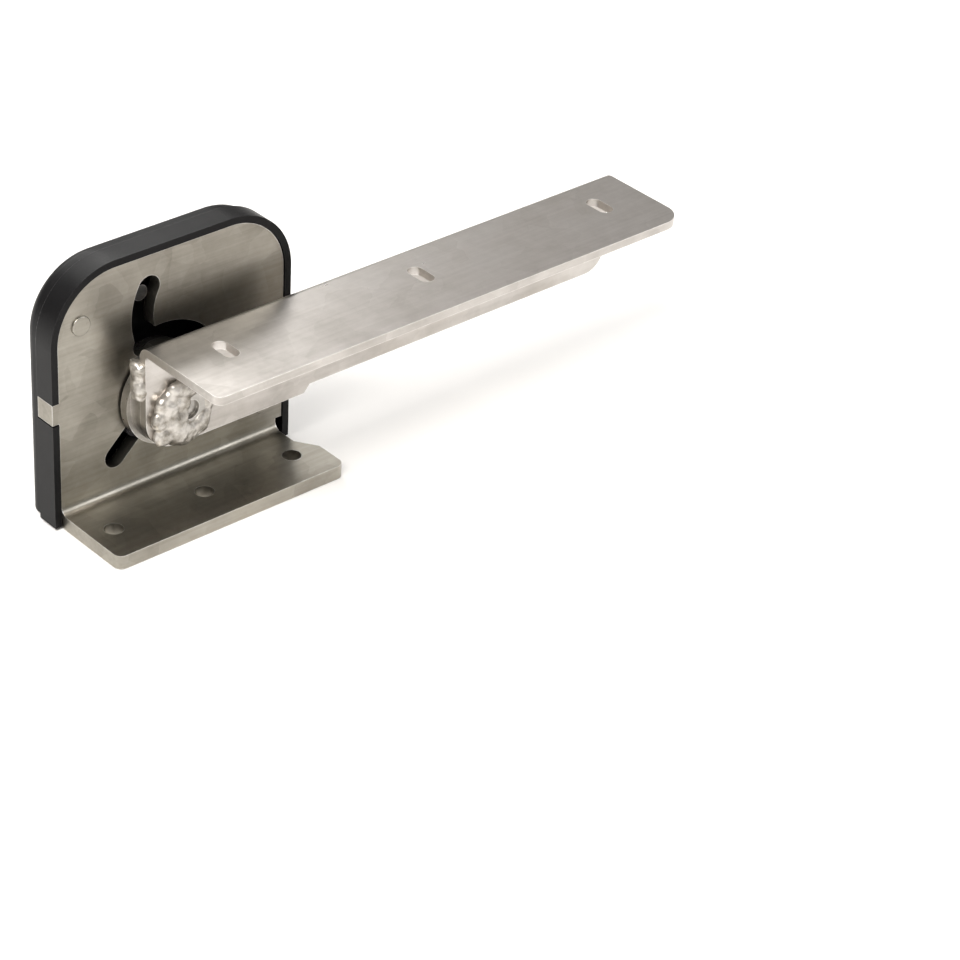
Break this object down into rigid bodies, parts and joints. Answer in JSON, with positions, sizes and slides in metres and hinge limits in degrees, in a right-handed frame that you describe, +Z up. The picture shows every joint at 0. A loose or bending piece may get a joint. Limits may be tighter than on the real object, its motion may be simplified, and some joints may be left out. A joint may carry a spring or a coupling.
{
  "type": "folding arm bracket",
  "caption": "Bent steel bracket with a fold-up L-section arm on a pivot, and a black plastic cover over its catch, for a gate or flap.",
  "frame": {"origin": "centre of the middle bolt hole, on the underside of the flange", "axes": "+X along the arm away from the pivot, +Y from the bolt flange towards the cover, +Z up, normal to the flange and the arm's top face"},
  "size_m": [0.2257, 0.0658, 0.0908],
  "materials": {
    "galvanised_sheet": "zinc plated sheet, satin, faintly mottled",
    "plated_steel": "zinc plated, satin",
    "weld_metal": "rough weld bead, bright crests",
    "spring_steel": "drawn wire",
    "bronze": "sintered bush",
    "black_plastic": "fine moulded texture, satin",
    "black_nylon": "satin",
    "buffer_rubber": "matte"
  },
  "bodies": {
    "bracket": {"base_bracket": "galvanised_sheet", "pivot_bush": "bronze", "pawl_stud": "galvanised_sheet", "pawl_ring": "spring_steel", "spring_post": "plated_steel", "return_spring": "spring_steel", "pawl_spring": "spring_steel", "stop_stud": "plated_steel", "stop_buffer": "buffer_rubber", "cover_rim": "black_plastic", "cover_lid": "black_plastic", "cover_rivets": "galvanised_sheet"},
    "arm": {"arm": "galvanised_sheet", "hub_plate": "plated_steel", "wear_washer": "plated_steel", "pivot_pin": "plated_steel", "pivot_weld": "weld_metal", "edge_weld": "weld_metal", "guide_pin": "plated_steel", "guide_roller": "black_nylon", "cam_plate": "plated_steel", "retaining_ring": "spring_steel"},
    "follower": {"follower_block": "black_nylon", "follower_pin": "plated_steel", "follower_wheel": "black_nylon"},
    "pawl": {"lock_pawl": "plated_steel", "lock_pin": "spring_steel"}
  },
  "joints": [
    {"name": "arm_fold", "type": "hinge", "parent": "bracket", "child": "arm", "pos_m": [-0.0045, 0.0165, 0.037], "axis": [0, -1, 0], "range_deg": [0, 90]},
    {"name": "follower_slide", "type": "slide", "parent": "bracket", "child": "follower", "axis": [-0.7206, 0, -0.6934], "range_m": [0, 0.006]},
    {"name": "pawl_swing", "type": "hinge", "parent": "bracket", "child": "pawl", "pos_m": [0.01, 0.0269, 0.066], "axis": [0, -1, 0], "range_deg": [0, 20], "stiffness_Nm_per_rad": 0.02, "springref_deg": -17.19}
  ],
  "couplings": [
    {"joint": "follower_slide", "follows": "arm_fold", "m_per_rad": 0.0038197}
  ]
}
